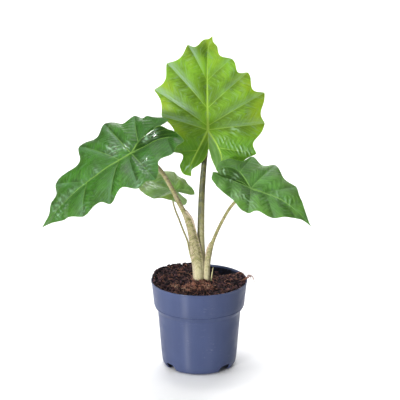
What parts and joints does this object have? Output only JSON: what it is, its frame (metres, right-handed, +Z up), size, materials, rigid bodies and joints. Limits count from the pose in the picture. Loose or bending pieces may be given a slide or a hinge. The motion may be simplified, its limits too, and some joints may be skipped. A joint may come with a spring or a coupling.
{
  "type": "potted alocasia plant",
  "caption": "Shield-shaped leaves with scalloped, waved edges on fleshy sheathing stalks, in a round tapered grower's pot filled with dark peat.",
  "frame": {"origin": "centre of the pot's flat underside, on the pot's axis", "axes": "+Z up along the pot's axis, -Y towards the picture's viewer, +X to the viewer's right"},
  "size_m": [0.331, 0.158, 0.4088],
  "materials": {
    "pot": "satin",
    "soil": "matte",
    "corm": "matte",
    "petiole_upright": "satin",
    "petiole_left": "satin",
    "petiole_right": "satin",
    "petiole_small": "satin",
    "blade_upright": "satin",
    "blade_left": "satin",
    "blade_right": "satin",
    "blade_small": "satin",
    "scale_leaf": "matte"
  },
  "bodies": {
    "root": {"pot": "pot", "soil": "soil", "corm": "corm", "petiole_upright": "petiole_upright", "blade_upright": "blade_upright", "petiole_left": "petiole_left", "blade_left": "blade_left", "petiole_right": "petiole_right", "blade_right": "blade_right", "petiole_small": "petiole_small", "blade_small": "blade_small", "scale_leaf": "scale_leaf"}
  },
  "joints": []
}
